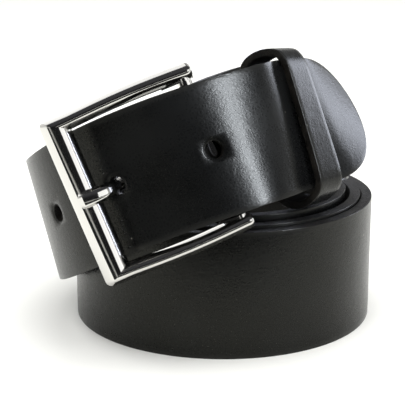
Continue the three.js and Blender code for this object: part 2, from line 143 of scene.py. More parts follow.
# The keeper presses a dip into the tip and into the layer right under it
def dipped(course, turn):
    deep = strap["dip"] * (1 - smooth(abs(turn - strap["dipTurn"]), *strap["dipOver"]))
    return layerBelow(course, turn, deep) if deep > 0 else course(turn)


def innerLayer(turn):
    return layerBelow(lambda at: dipped(underTip, at), turn, strap["layerStep"])


def upright(turn, radius, high):
    angle = math.radians(turn)
    return Vector((-radius * math.sin(angle), -radius * math.cos(angle), high)), Vector((0, 0, 1))


def onCoil(turn):
    slack = strap["slack"] * smooth(turn, *strap["slackOver"])
    radius = strap["coilRadius"] - strap["coilPitch"] * (turn - strap["coilRadiusTurn"]) / 360 - slack
    rise = strap["rise"] * max(0, turn - strap["riseFrom"]) / 360
    return upright(turn, radius, strap["width"] / 2 + rise)


def onClimb(turn):
    share = smooth(turn, *strap["climbOver"])
    high = strap["climbLow"] + (strap["climbHigh"] - strap["climbLow"]) * share
    return upright(turn, strap["climbRadius"], high)


def onFreePass(turn):
    if turn < strap["leaveTurn"]:
        return onTip(turn)
    return blend(onLoop(turn), onCoil(turn), smooth(turn, *strap["ontoCoilOver"]))


def onStrap(turn):
    if turn < strap["halfWay"]:
        return dipped(onFreePass, turn)
    low = blend(onCoil(turn), onClimb(turn), smooth(turn, *strap["offCoilOver"]))
    return blend(low, innerLayer(turn - strap["wholeTurns"]), smooth(turn, *strap["ontoLoopOver"]))


# Spot on a course with its three directions; near the heel bar the strap lies square to the buckle
def axesAt(course, turn):
    spot, across = course(turn)
    along = (course(turn + 0.5)[0] - course(turn - 0.5)[0]).normalized()
    across = (across - along * across.dot(along)).normalized()
    local = turn - strap["wholeTurns"] if turn > strap["halfWay"] else turn
    square = 1 - smooth(abs(local - strap["heelTurn"]), *strap["squareOver"])
    across = across.lerp(buckleUp, square).normalized()
    return spot, along, across, across.cross(along).normalized()


# The whole strap as stations with their length from the tip: over the coil, round the heel bar
# of the buckle and back under itself
def walkStrap():
    walk, marks = [], {}
    tipTurn = strap["leaveTurn"] - math.degrees(strap["tipLength"] / strap["loopRadius"])
    lastTurn = strap["heelTurn"] + strap["wholeTurns"]

    def step(spot, across, out):
        length = walk[-1][0] + (spot - walk[-1][1]).length if walk else 0
        walk.append((length, spot.copy(), across.copy(), out.copy()))

    count = round((lastTurn - tipTurn) / strap["turnStep"])
    for number in range(count):
        turn = tipTurn + (lastTurn - tipTurn) * number / count
        spot, _, across, out = axesAt(onStrap, turn)
        step(spot, across, out)
        marks[turn] = walk[-1][0]
    spot, along, across, out = axesAt(innerLayer, strap["heelTurn"])
    step(spot, across, out)
    marks["heel"] = walk[-1][0]
    middle = spot - out * strap["foldRadius"]
    for angle in range(strap["heelStep"], 181, strap["heelStep"]):
        way = out * math.cos(math.radians(angle)) + along * math.sin(math.radians(angle))
        step(middle + way * strap["foldRadius"], across, way)
    marks["heelEnd"] = walk[-1][0]
    near = strap["layerStep"] + 2 * strap["foldRadius"]
    settled = 2 * strap["layerStep"] + strap["thick"] + strap["foldStandOff"]
    for turn in range(strap["foldStartTurn"], strap["foldEndTurn"] - 1, -strap["foldStep"]):
        deep = near + (settled - near) * smooth(-turn, *strap["settleOver"])
        spot, _, across, out = axesAt(lambda at: layerBelow(underTip, at, deep), turn)
        step(spot, across, -out)
    return walk, marks


walk, marks = walkStrap()
lengths = [station[0] for station in walk]
turnMarks = sorted(key for key in marks if not isinstance(key, str))


def lengthAt(turn):
    after = bisect_right(turnMarks, turn)
    low, high = turnMarks[after - 1], turnMarks[after]
    return marks[low] + (marks[high] - marks[low]) * (turn - low) / (high - low)


def stationAt(length):
    after = min(max(bisect_right(lengths, length), 1), len(walk) - 1)
    first, second = walk[after - 1], walk[after]
    share = (length - first[0]) / (second[0] - first[0])
    return [first[part].lerp(second[part], share) for part in (1, 2, 3)]


def halfWidth(length):
    past = max(0, strap["taper"] - length) / strap["taper"]
    return strap["width"] / 2 * math.sqrt(max(0, 1 - past ** strap["roundness"]))


print("course of the strap:", round(lengths[-1]), "mm in all")


# Turns a finished bmesh into a piece of the belt
def finishPiece(mesh, name, materials, node):
    data = bpy.data.meshes.new(name)
    mesh.to_mesh(data)
    mesh.free()
    for material in materials:
        data.materials.append(material)
    for face in data.polygons:
        face.use_smooth = True
    piece = bpy.data.objects.new(name, data)
    bpy.context.scene.collection.objects.link(piece)
    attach(piece, "root")
    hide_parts(node)
    print("piece", name, len(data.polygons), "faces")
    return piece


def vertsOf(geometry):
    return [part for part in geometry if isinstance(part, bmesh.types.BMVert)]


def edgesOf(geometry):
    return [part for part in geometry if isinstance(part, bmesh.types.BMEdge)]


# A flat sheet of leather from a grid: "where" puts each column and share of the half width
def layFlat(columns, rows, where):
    mesh = bmesh.new()
    bmesh.ops.create_grid(mesh, x_segments=columns, y_segments=rows, size=0.5)
    for vert in mesh.verts:
        vert.co = where(round((vert.co.x + 0.5) * columns), 2 * vert.co.y)
    return mesh


# The grain side of a sheet that is still flat, with its rounded rims
def onGrain(spot):
    return spot.z > -1


def isRim(edge):
    return edge.calc_face_angle(0) > 1


# Gives a flat sheet its thickness downwards and rounds its rims, each by its own amount
def thicken(mesh, thick, roundBy):
    grown = bmesh.ops.extrude_face_region(mesh, geom=mesh.faces[:])["geom"]
    bmesh.ops.translate(mesh, vec=(0, 0, -thick), verts=vertsOf(grown))
    bmesh.ops.recalc_face_normals(mesh, faces=mesh.faces[:])
    for offset in sorted({roundBy(edge) for edge in mesh.edges if isRim(edge)} - {0}):
        chosen = [edge for edge in mesh.edges if isRim(edge) and roundBy(edge) == offset]
        bmesh.ops.bevel(mesh, geom=chosen, offset=offset, offset_type="OFFSET", segments=3, profile=0.5,
                        affect="EDGES", material=-1, clamp_overlap=True)


# Finish of each face from the way it looks while the sheet is flat: 0 grain, 1 cut edge, 2 back
def paintFlat(mesh, wornAndHighlight):
    sheet = mesh.loops.layers.uv.new("sheet")
    # The rim mask marks the grain's rounded rims, where a lighter tone is painted: partly wear, partly a
    # painted highlight
    wearAndHighlight = mesh.verts.layers.float.new("rimWearAndHighlight")
    for vert in mesh.verts:
        vert[wearAndHighlight] = wornAndHighlight(vert.co)
    for face in mesh.faces:
        face.material_index = 0 if face.normal.z > 0.3 else 2 if face.normal.z < -0.3 else 1
        for loop in face.loops:
            spot = loop.vert.co
            down = 0
            if face.material_index == 1:
                down = -spot.z if spot.y > 0 else spot.z
            loop[sheet].uv = (spot.x * metre, (spot.y + down) * metre)


# Wraps a socket so that shader maths reads as Python
class Wire:
    def __init__(self, tree, socket=None):
        self.tree, self.socket = tree, socket

    def make(self, kind, settings=None, inputs=None, give=0):
        node = self.tree.nodes.new(kind)
        for name, value in (settings or {}).items():
            setattr(node, name, value)
        for name, value in (inputs or {}).items():
            if isinstance(value, Wire):
                self.tree.links.new(value.socket, node.inputs[name])
            else:
                node.inputs[name].default_value = value
        return Wire(self.tree, node.outputs[give]) if node.outputs else node

    def maths(self, operation, *values):
        return self.make("ShaderNodeMath", {"operation": operation}, dict(enumerate(values)))

    def __add__(self, other):
        return self.maths("ADD", self, other)

    def __sub__(self, other):
        return self.maths("SUBTRACT", self, other)

    def __rsub__(self, other):
        return self.maths("SUBTRACT", other, self)

    def __mul__(self, other):
        return self.maths("MULTIPLY", self, other)

    __radd__, __rmul__ = __add__, __mul__

    def between(self, low, high):
        return self.make("ShaderNodeMapRange", {"interpolation_type": "SMOOTHSTEP"},
                         {0: self, 1: low, 2: high, 3: 0.0, 4: 1.0})

    def mix(self, first, second):
        return self.make("ShaderNodeMix", {"data_type": "RGBA"}, {0: self, 6: first, 7: second}, 2)


def newMaterial(name):
    material = bpy.data.materials.new(name)
    material.use_nodes = True
    material.node_tree.nodes.clear()
    return material, Wire(material.node_tree)


def finishMaterial(wire, surface):
    shader = wire.make("ShaderNodeBsdfPrincipled", None, surface)
    wire.make("ShaderNodeOutputMaterial", None, {"Surface": shader})


def noise(wire, spot, scale, settings):
    return wire.make("ShaderNodeTexNoise", None, {"Vector": spot, "Scale": scale, **settings})


# Relief from a height in millimetres
def relief(wire, height):
    return wire.make("ShaderNodeBump", None, {"Height": height, "Distance": metre, "Strength": 1.0})


# A pattern on its own grid, drawn out and turned
def drawnOut(wire, spot, turn, size):
    return wire.make("ShaderNodeMapping", {"vector_type": "TEXTURE"},
                     {"Vector": spot, "Rotation": (0, 0, turn), "Scale": size})


# Sizes named "...Scale" are patterns to the metre, heights are in millimetres
grainLook = {
    "dark": (0.0030, 0.0032, 0.0035, 1), "light": (0.0065, 0.0069, 0.0073, 1),
    # the rims' lighter tone is partly wear and partly a painted highlight along the bevel
    "wornAndHighlight": (0.022, 0.022, 0.021, 1), "scratched": (0.028, 0.028, 0.027, 1), "dust": (0.20, 0.19, 0.17, 1),
    "roughness": 0.245, "gloss": 0.205, "glossTint": (1, 1, 0.88, 1),
    "cloudScale": 38, "pebbleScale": 1000, "relief": 0.008,
    "waves": (0.0022, 0.00072, 1), "waveTurn": 0.12, "waveRelief": 0.036,  # length and width in metres
    "scratches": (0.0048, 0.00042, 1), "scratchTurn": 0.7, "scratchShare": 0.5, "wornAndHighlightShare": 0.75,
    "wrinkleScale": 200, "wrinkleRelief": 0.06, "speckScale": 170, "speckPatchScale": 90,
}


def grainLeather():
    look = grainLook
    material, wire = newMaterial("grainLeather")
    sheet = wire.make("ShaderNodeUVMap", {"uv_map": "sheet"})
    wearAndHighlight = wire.make("ShaderNodeAttribute", {"attribute_name": "rimWearAndHighlight"}, None, "Fac")
    pebbles = wire.make("ShaderNodeTexVoronoi", {"feature": "DISTANCE_TO_EDGE"},
                        {"Vector": sheet, "Scale": look["pebbleScale"]}).between(0.0, 0.32)
    alongWaves = drawnOut(wire, sheet, look["waveTurn"], look["waves"])
    waves = noise(wire, alongWaves, 1.0, {"Detail": 1.5, "Distortion": 0.8})
    wrinkles = noise(wire, sheet, look["wrinkleScale"], {"Detail": 3.0, "Distortion": 0.6})
    cloud = noise(wire, sheet, look["cloudScale"], {"Detail": 4.0})
    specks = wire.make("ShaderNodeTexVoronoi", None,
                       {"Vector": sheet, "Scale": look["speckScale"]}).between(0.06, 0.03)
    specks *= noise(wire, sheet, look["speckPatchScale"], {}).between(0.56, 0.62)
    slanted = drawnOut(wire, sheet, look["scratchTurn"], look["scratches"])
    scratches = noise(wire, slanted, 1.0, {"Detail": 2.0}).between(0.68, 0.76)
    height = pebbles * look["relief"] + waves * look["waveRelief"] + wrinkles * look["wrinkleRelief"]
    tone = cloud.between(0.35, 0.7).mix(look["dark"], look["light"])
    # Rounded rims painted lighter: partly wear, partly a painted highlight along the bevel
    tone = (wearAndHighlight * look["wornAndHighlightShare"]).mix(tone, look["wornAndHighlight"])
    tone = (scratches * look["scratchShare"]).mix(tone, look["scratched"])
    tone = specks.mix(tone, look["dust"])
    rough = look["roughness"] + cloud * 0.09 - pebbles * 0.03 - wearAndHighlight * 0.06
    finishMaterial(wire, {"Base Color": tone, "Roughness": rough, "Normal": relief(wire, height),
                          "Specular IOR Level": look["gloss"], "Specular Tint": look["glossTint"]})
    return material


edgeLook = {
    "dark": (0.0022, 0.0019, 0.0015, 1), "light": (0.022, 0.019, 0.015, 1), "roughness": 0.5, "gloss": 0.2,
    "fibreScale": 1000 / 0.7, "patchScale": 260, "relief": 0.34,
}


def cutEdge():
    look = edgeLook
    material, wire = newMaterial("cutEdge")
    sheet = wire.make("ShaderNodeUVMap", {"uv_map": "sheet"})
    fibres = noise(wire, sheet, look["fibreScale"], {"Detail": 4.0, "Roughness": 0.7})
    patches = noise(wire, sheet, look["patchScale"], {"Detail": 3.0})
    bump = relief(wire, (fibres + patches) * look["relief"])
    mottle = fibres.between(0.4, 0.75) * 0.6 + patches.between(0.4, 0.7) * 0.4
    finishMaterial(wire, {"Base Color": mottle.mix(look["dark"], look["light"]),
                          "Roughness": look["roughness"] + fibres * 0.2, "Normal": bump,
                          "Specular IOR Level": look["gloss"]})
    return material


fleshLook = {
    "dark": (0.011, 0.011, 0.010, 1), "light": (0.04, 0.038, 0.033, 1), "roughness": 0.82, "gloss": 0.3,
    "napScale": 1900, "cloudScale": 60, "relief": 0.18,
}


def fleshSide():
    look = fleshLook
    material, wire = newMaterial("fleshSide")
    sheet = wire.make("ShaderNodeUVMap", {"uv_map": "sheet"})
    nap = noise(wire, sheet, look["napScale"], {"Detail": 4.0, "Roughness": 0.65})
    cloud = noise(wire, sheet, look["cloudScale"], {"Detail": 3.0})
    tone = (nap.between(0.3, 0.75) * 0.6 + cloud * 0.4).mix(look["dark"], look["light"])
    finishMaterial(wire, {"Base Color": tone, "Roughness": look["roughness"] + nap * 0.12,
                          "Normal": relief(wire, nap * look["relief"]), "Specular IOR Level": look["gloss"]})
    return material


platingLook = {
    "tone": (0.62, 0.61, 0.585, 1), "dull": (0.52, 0.515, 0.50, 1), "dullShare": 0.5, "roughness": 0.085,
    "cloudScale": 140, "hairScale": 2600, "hairRelief": 0.0005, "rippleScale": 110, "rippleRelief": 0.02,
}


def brightPlating():
    look = platingLook
    material, wire = newMaterial("brightPlating")
    spot = wire.make("ShaderNodeTexCoord", None, None, "Object")
    cloud = noise(wire, spot, look["cloudScale"], {"Detail": 5.0, "Roughness": 0.6})
    hair = noise(wire, spot, look["hairScale"], {"Detail": 2.0})
    ripple = noise(wire, spot, look["rippleScale"], {"Detail": 1.0})
    bump = relief(wire, ripple * look["rippleRelief"] + hair * look["hairRelief"])
    tone = (cloud.between(0.55, 0.8) * look["dullShare"]).mix(look["tone"], look["dull"])
    rough = look["roughness"] + cloud.between(0.45, 0.8) * 0.07 + hair * 0.02
    finishMaterial(wire, {"Base Color": tone, "Metallic": 1.0, "Roughness": rough, "Normal": bump})
    return material


rivetLook = {
    "dark": (0.34, 0.34, 0.33, 1), "light": (0.55, 0.55, 0.54, 1), "roughness": 0.3,
    "gritScale": 1800, "relief": 0.02,
}


def brushedSteel():
    look = rivetLook
    material, wire = newMaterial("rivetSteel")
    spot = wire.make("ShaderNodeTexCoord", None, None, "Object")
    grit = noise(wire, spot, look["gritScale"], {"Detail": 3.0})
    tone = grit.between(0.3, 0.8).mix(look["dark"], look["light"])
    finishMaterial(wire, {"Base Color": tone, "Metallic": 1.0, "Roughness": look["roughness"] + grit * 0.15,
                          "Normal": relief(wire, grit * look["relief"])})
    return material


leatherFinish = [grainLeather(), cutEdge(), fleshSide()]
plating = brightPlating()
rivetSteel = brushedSteel()
print("materials ready")


# The strap is laid flat, cut, punched and rounded, and then rolled up
def strapColumns(slotStart, slotEnd):
    columns, step = [strap["tipFlat"]], strap["firstColumn"]
    while columns[-1] < slotStart - strap["columns"]:
        columns.append(columns[-1] + step)
        step = min(step * strap["columnGrowth"], strap["columns"])
    slotPart = (slotStart, slotEnd, strap["slotColumns"])
    lastPart = (slotEnd, lengths[-1], strap["columns"])
    for start, end, pitch in (slotPart, lastPart):
        count = math.ceil((end - start) / pitch)
        columns += [start + (end - start) * number / count for number in range(count)]
    return columns + [lengths[-1]]


def nearHole(spot, centre, reach):
    return abs(spot.x - centre) < reach[0] and abs(spot.y) < reach[1]


def makeStrap():
    slotStart = marks["heel"] - strap["slotBack"]
    slotEnd = marks["heelEnd"] + strap["slotBack"]
    columns = strapColumns(slotStart, slotEnd)
    holes = [lengthAt(turn) for turn in strap["holeTurns"]]
    dipMiddle = lengthAt(strap["dipTurn"])

    def inSlot(length):
        return slotStart - 0.01 < length < slotEnd + 0.01

    # The first columns lie along the rounded tip, the next ones straight across
    def where(column, share):
        length = columns[column]
        across = share * halfWidth(length)
        endShare = abs(share) * halfWidth(strap["tipFlat"]) * 2 / strap["width"]
        end = strap["taper"] * (1 - (1 - endShare ** 2) ** (1 / strap["roundness"]))
        pulled = (strap["tipFlat"] - end) * max(0, 1 - column / strap["tipColumns"])
        if inSlot(length) and abs(abs(share) - strap["slotShare"]) < 0.02:
            across = math.copysign(strap["slotWide"] / 2, share)
        return Vector((length - pulled, across, 0))

    def roundBy(edge):
        atHole = any(nearHole(edge.verts[0].co, centre, strap["holeRim"]) for centre in holes)
        return strap["holeBevel"] if atHole else strap["edgeBevel"]

    # Mask of the grain's last stretch to the rim, painted lighter as partly wear and partly a painted
    # highlight
    def wornAndHighlight(spot):
        pastRim = abs(spot.y) - halfWidth(max(spot.x, strap["tipFlat"]))
        return smooth(pastRim, *strap["wornAndHighlightOver"]) if onGrain(spot) else 0

    mesh = layFlat(len(columns) - 1, strap["rows"], where)
    middles = [(face, face.calc_center_median()) for face in mesh.faces]
    slot = [face for face, middle in middles if inSlot(middle.x) and abs(middle.y) < strap["slotWide"] / 2]
    bmesh.ops.delete(mesh, geom=slot, context="FACES")
    for centre in holes:
        punchHole(mesh, centre)
    thicken(mesh, strap["thick"], roundBy)
    paintFlat(mesh, wornAndHighlight)
    for vert in mesh.verts:
        length, sideways = vert.co.x, vert.co.y
        if length < strap["crownEnd"]:
            crown = strap["crown"] * (1 - smooth(abs(length - dipMiddle), *strap["crownAlong"]))
            vert.co.z += crown * (1 - smooth(abs(sideways), *strap["crownAcross"]))
        if onGrain(vert.co):
            for centre in holes:
                pastHole = math.hypot(length - centre, sideways) - strap["hole"] / 2
                vert.co.z -= strap["pressed"] * (1 - smooth(pastHole, 0, strap["pressWide"]))
        spot, across, out = stationAt(length)
        vert.co = place(spot - across * sideways + out * vert.co.z)
    return finishPiece(mesh, "strapLeather", leatherFinish, "strap")


# A round hole: a patch of the grid gives way to rings that close in on the hole's wall
def punchHole(mesh, centre):
    patch = [face for face in mesh.faces if nearHole(face.calc_center_median(), centre, strap["holeCut"])]
    bmesh.ops.delete(mesh, geom=patch, context="FACES")
    loose = [edge for edge in mesh.edges if edge.is_boundary
             and all(nearHole(vert.co, centre, strap["holeLoose"]) for vert in edge.verts)]
    reach = strap["hole"] / 2 + strap["holeRing"]
    ring = bmesh.ops.create_circle(mesh, segments=strap["holeSides"], radius=reach,
                                   matrix=Matrix.Translation((centre, 0, 0)))["verts"]
    edges = list(dict.fromkeys(edge for vert in ring for edge in vert.link_edges))
    bmesh.ops.bridge_loops(mesh, edges=loose + edges)
    toOrigin = Matrix.Translation((-centre, 0, 0))
    for wider in strap["holeSteps"]:
        grown = bmesh.ops.extrude_edge_only(mesh, edges=edges)["geom"]
        edges = edgesOf(grown)
        size = (strap["hole"] / 2 + wider) / reach
        bmesh.ops.scale(mesh, vec=(size, size, 1), space=toOrigin, verts=vertsOf(grown))
        reach *= size


strapPiece = makeStrap()

keeper = {
    "fromTurn": -51.5, "toTurn": -63, "wall": 2.3, "bevel": 0.3, "wornAndHighlightWide": (0.9, 0.1),
    "topSlope": 0.06, "slopeOver": (6, 24), "tilt": 0.005, "twist": 0.003,
    "columns": 160, "rows": 6, "cuts": 6,
    "path": (  # across the strap and out from its face, on the outer face of the loop
        (0, 3.1), (6, 3.05), (12, 2.95), (16, 2.85), (18.6, 2.45), (20.7, 1.65), (22.5, 0.4), (23.6, -1.7),
        (24.3, -4.2), (24.6, -6.9), (24.5, -9.6), (23.9, -12.2), (22.7, -14.5), (20.6, -16.2), (17.6, -17),
        (12, -17.2), (4, -17.2), (-4, -17.2), (-12, -17.2), (-17.3, -16.9), (-20.7, -15.7), (-23.1, -13.3),
        (-24.5, -10.3), (-24.9, -7.2), (-24.5, -4.3), (-23.5, -1.6), (-22.1, 0.7), (-19.8, 2.4),
        (-16.6, 3.05), (-12, 3.15), (-6, 3.15),
    ),
}


# Smooth closed line through the keeper's places, as close points with their length
def keeperLine():
    rows = [Vector(row) for row in keeper["path"]]
    line = []
    for number in range(len(rows)):
        before, first, second, after = (rows[(number + step) % len(rows)] for step in (-1, 0, 1, 2))
        for part in range(keeper["cuts"]):
            share = part / keeper["cuts"]
            line.append((first * 2 + (second - before) * share
                         + (before * 2 - first * 5 + second * 4 - after) * share ** 2
                         + (first * 3 - before - second * 3 + after) * share ** 3) / 2)
    runs = [0.0]
    for number in range(len(line)):
        runs.append(runs[-1] + (line[(number + 1) % len(line)] - line[number]).length)
    return line, runs


def makeKeeper():
    spot, along, across, out = axesAt(onFreePass, (keeper["fromTurn"] + keeper["toTurn"]) / 2)
    wide = (onFreePass(keeper["fromTurn"])[0] - onFreePass(keeper["toTurn"])[0]).length
    line, runs = keeperLine()
    girth = runs[-1]

    def onLine(length):
        length %= girth
        after = min(bisect_right(runs, length), len(line))
        first, second = line[after - 1], line[after % len(line)]
        return first.lerp(second, (length - runs[after - 1]) / (runs[after] - runs[after - 1]))

    def where(column, share):
        return Vector((girth * column / keeper["columns"], share * wide / 2, 0))

    def roundBy(edge):
        isEnd = abs(edge.verts[0].co.x - edge.verts[1].co.x) < 0.01
        return 0 if isEnd else keeper["bevel"]

    # Mask of the keeper's grain rims, painted lighter as partly wear and partly a painted highlight
    def wornAndHighlight(flat):
        start, end = (wide / 2 - inset for inset in keeper["wornAndHighlightWide"])
        return smooth(abs(flat.y), start, end) if onGrain(flat) else 0

    mesh = layFlat(keeper["columns"], keeper["rows"], where)
    thicken(mesh, keeper["wall"], roundBy)
    ends = [face for face in mesh.faces if abs(face.normal.x) > 0.9]
    bmesh.ops.delete(mesh, geom=ends, context="FACES")
    paintFlat(mesh, wornAndHighlight)
    for vert in mesh.verts:
        here = onLine(vert.co.x)
        way = (onLine(vert.co.x + 0.6) - onLine(vert.co.x - 0.6)).normalized()
        toBuckle = -vert.co.y
        slope = keeper["topSlope"] * smooth(here.x, *keeper["slopeOver"])
        tilt = keeper["tilt"] + keeper["twist"] * here.x
        here += Vector((-way.y, way.x)) * vert.co.z
        sideways, high = here.x + slope * toBuckle, here.y + tilt * toBuckle
        vert.co = place(spot + across * sideways + out * high + along * toBuckle)
    bmesh.ops.remove_doubles(mesh, verts=mesh.verts[:], dist=0.05 * metre)
    bmesh.ops.recalc_face_normals(mesh, faces=mesh.faces[:])
    return finishPiece(mesh, "keeperLoop", leatherFinish, "keeper")


keeperPiece = makeKeeper()


# The vertex that an extrusion has grown from this one
def follower(vert, grownVerts):
    return next(edge.other_vert(vert) for edge in vert.link_edges if edge.other_vert(vert) in grownVerts)


# A bar through a row of sections: the first section's edges are extruded from place to place
def sweep(sections):
    mesh = bmesh.new()
    verts = [mesh.verts.new(point) for point in sections[0]]
    edges = [mesh.edges.new(pair) for pair in zip(verts, verts[1:] + verts[:1])]
    mesh.faces.new(verts)
    for section in sections[1:]:
        grown = bmesh.ops.extrude_edge_only(mesh, edges=edges)["geom"]
        grownVerts, edges = vertsOf(grown), edgesOf(grown)
        verts = [follower(vert, grownVerts) for vert in verts]
        for vert, point in zip(verts, section):
            vert.co = point
    mesh.faces.new(verts)
    bmesh.ops.recalc_face_normals(mesh, faces=mesh.faces[:])
    return mesh


# Takes a round thing made about the origin to the heel bar's line
def ontoHeelBar(mesh, verts):
    turnTo = Matrix((buckleAlong, buckleOut, buckleUp)).transposed().to_4x4()
    middle = place(inBuckle(buckle["barAlong"], 0, buckle["barHigh"]))
    bmesh.ops.transform(mesh, matrix=Matrix.Translation(middle) @ turnTo, verts=verts)


def sharpen(piece, angle):
    piece.data.set_sharp_from_angle(angle=angle)


# Half round bar: share of the bar's width from its outer side, and height
frameSection = (
    (0.0, 0.0), (0.0, 0.8), (0.03, 1.3), (0.10, 2.15), (0.20, 3.35), (0.26, 4.0), (0.31, 4.35), (0.38, 4.58),
    (0.46, 4.68), (0.54, 4.7), (0.61, 4.62), (0.67, 4.44), (0.73, 4.16), (0.79, 3.74), (0.85, 3.2),
    (0.91, 2.5), (0.96, 1.7), (1.0, 0.7), (0.98, 0.2), (0.92, 0.0),
)


def makeBuckleFrame():
    halfLong, halfWide = buckle["long"] / 2, buckle["wide"] / 2
    railEnd = buckle["endLength"] - halfLong
    railLong = buckle["long"] - buckle["barWide"] - buckle["endLength"]

    def railSection(along, side):
        bulge = buckle["bulge"] * math.sin(math.pi * (along - railEnd) / railLong)
        return [inBuckle(along, side * (halfWide + bulge - share * buckle["railWide"]), high)
                for share, high in frameSection]

    # The rail's last stretch draws in to a rounded end
    def endSection(share, side):
        shrink = math.sqrt(1 - buckle["endShrink"] * share ** 3)
        along = railEnd - buckle["endLength"] * share
        points = []
        for across, high in frameSection:
            inset = (0.5 + (across - 0.5) * shrink) * buckle["railWide"]
            lift = buckle["endHigh"] + (high - buckle["endHigh"]) * shrink
            points.append(inBuckle(along, side * (halfWide - inset), lift))
        return points

    def cornerSection(angle, side):
        points = []
        for share, high in frameSection:
            inset = buckle["corner"] * max(0, 1 - share / buckle["cornerShare"])
            along = halfLong - share * buckle["barWide"] - inset * (1 - math.cos(angle))
            across = halfWide - share * buckle["railWide"] - inset * (1 - math.sin(angle))
            points.append(inBuckle(along, side * across, high))
        return points

    railStart = halfLong - buckle["barWide"] - buckle["railStop"]
    steps, cornerSteps = buckle["railSteps"], buckle["cornerSteps"]
    alongSteps = [railEnd + (railStart - railEnd) * number / steps for number in range(steps + 1)]
    angles = [math.pi / 2 * number / cornerSteps for number in range(cornerSteps + 1)]
    sections = [endSection(share, -1) for share in buckle["endShares"]]
    sections += [railSection(along, -1) for along in alongSteps]
    sections += [cornerSection(angle, -1) for angle in reversed(angles)]
    sections += [cornerSection(angle, 1) for angle in angles]
    sections += [railSection(along, 1) for along in reversed(alongSteps)]
    sections += [endSection(share, 1) for share in reversed(buckle["endShares"])]
    mesh = sweep([[place(point) for point in section] for section in sections])
    for side in (-1, 1):
        addLug(mesh, side)
    radius = buckle["barRadius"] * metre
    bar = bmesh.ops.create_cone(mesh, segments=buckle["barSides"], radius1=radius, radius2=radius,
                                depth=(buckle["wide"] - buckle["railWide"]) * metre, cap_ends=True)["verts"]
    ontoHeelBar(mesh, bar)
    piece = finishPiece(mesh, "buckleFrame", [plating], "buckle_frame")
    sharpen(piece, buckle["sharp"])
    return piece


lug = {
    "radius": 3.1, "sides": 24, "foreAlong": 3.2, "foreHigh": 1.9, "foreRadius": 1.7,
    "tongue": 10.2, "tongueHigh": 0.4, "inset": 1.4,
}


# A lug is the hull of a round on the heel bar, a smaller one in the rail's end and a point ahead
def addLug(mesh, side):
    outer = buckle["wide"] / 2
    end = -buckle["long"] / 2
    rounds = ((buckle["barAlong"], buckle["barHigh"], lug["radius"]),
              (end + lug["foreAlong"], lug["foreHigh"], lug["foreRadius"]))
    points = []
    for across in (outer - buckle["railWide"], outer - lug["inset"]):
        for number in range(lug["sides"]):
            angle = 2 * math.pi * number / lug["sides"]
            for along, high, radius in rounds:
                points.append(inBuckle(along + radius * math.cos(angle), side * across,
                                       high + radius * math.sin(angle)))
        points.append(inBuckle(end + lug["tongue"], side * across, lug["tongueHigh"]))
    verts = [mesh.verts.new(place(point)) for point in points]
    hull = bmesh.ops.convex_hull(mesh, input=verts)
    bmesh.ops.delete(mesh, geom=vertsOf(hull["geom_interior"]), context="VERTS")


framePiece = makeBuckleFrame()

prongRows = (
    # along, high, wide, thick
    (-17.0, -5.3, 4.2, 2.2), (-8.0, -5.2, 4.2, 2.4), (3.5, -5.2, 4.2, 2.5), (6.7, -4.6, 4.0, 2.4),
    (8.4, -2.7, 3.7, 2.2), (9.8, 0.2, 3.6, 2.2), (11.5, 3.6, 3.9, 2.4), (13.7, 5.9, 4.7, 2.9),
    (16.6, 6.7, 4.8, 3.1), (19.1, 6.7, 4.8, 2.9), (20.3, 6.1, 4.5, 1.7),
)
prongSection = (  # shares of half the width and half the height, round a bar with sloping sides
    (-0.75, -1), (-0.93, -0.75), (-1, -0.2), (-0.78, 0.5), (-0.66, 0.82), (-0.5, 0.95), (-0.2, 1),
    (0.2, 1), (0.5, 0.95), (0.66, 0.82), (0.78, 0.5), (1, -0.2), (0.93, -0.75), (0.75, -1),
)
prongEye = {"wide": 5, "gap": 0.3, "thick": 1.6, "sharp": 0.6}


def makeProng():
    hole = axesAt(onStrap, strap["holeTurns"][1])[0] - Vector(buckle["centre"])
    holeAlong, holeUp = hole.dot(buckleAlong), hole.dot(buckleUp)
    sections = []
    for number, (along, high, wide, thick) in enumerate(prongRows):
        before, after = prongRows[max(0, number - 1)], prongRows[min(len(prongRows) - 1, number + 1)]
        slope = math.atan2(after[1] - before[1], after[0] - before[0])
        side = holeUp * smooth(along, buckle["barAlong"], holeAlong)
        points = []
        for share, lift in prongSection:
            across, up = wide / 2 * share, thick / 2 * lift
            point = inBuckle(along - up * math.sin(slope), across + side, high + up * math.cos(slope))
            points.append(place(point))
        sections.append(points)
    mesh = sweep(sections)
    inner = buckle["barRadius"] + prongEye["gap"]
    outer = inner + prongEye["thick"]
    half = prongEye["wide"] / 2
    profile = [mesh.verts.new(Vector((reach, 0, high)) * metre) for reach, high in
               ((inner, -half), (outer, -half), (outer, half), (inner, half))]
    edges = [mesh.edges.new(pair) for pair in zip(profile, profile[1:] + profile[:1])]
    tongue = set(mesh.verts) - set(profile)
    bmesh.ops.spin(mesh, geom=profile + edges, cent=(0, 0, 0), axis=(0, 0, 1), angle=2 * math.pi,
                   steps=buckle["barSides"], use_merge=True)
    ontoHeelBar(mesh, [vert for vert in mesh.verts if vert not in tongue])
    bmesh.ops.recalc_face_normals(mesh, faces=mesh.faces[:])
    piece = finishPiece(mesh, "buckleProng", [plating], "prong")
    sharpen(piece, prongEye["sharp"])
    return piece


prongPiece = makeProng()

rivets = [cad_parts[name] for name in ("fold_rivet_1", "fold_rivet_2")]
for rivet in rivets:
    rivet.data.materials.clear()
    rivet.data.materials.append(rivetSteel)
print("rivets finished")

litPieces = {"leather": [strapPiece, keeperPiece], "plating": [framePiece, prongPiece, *rivets]}

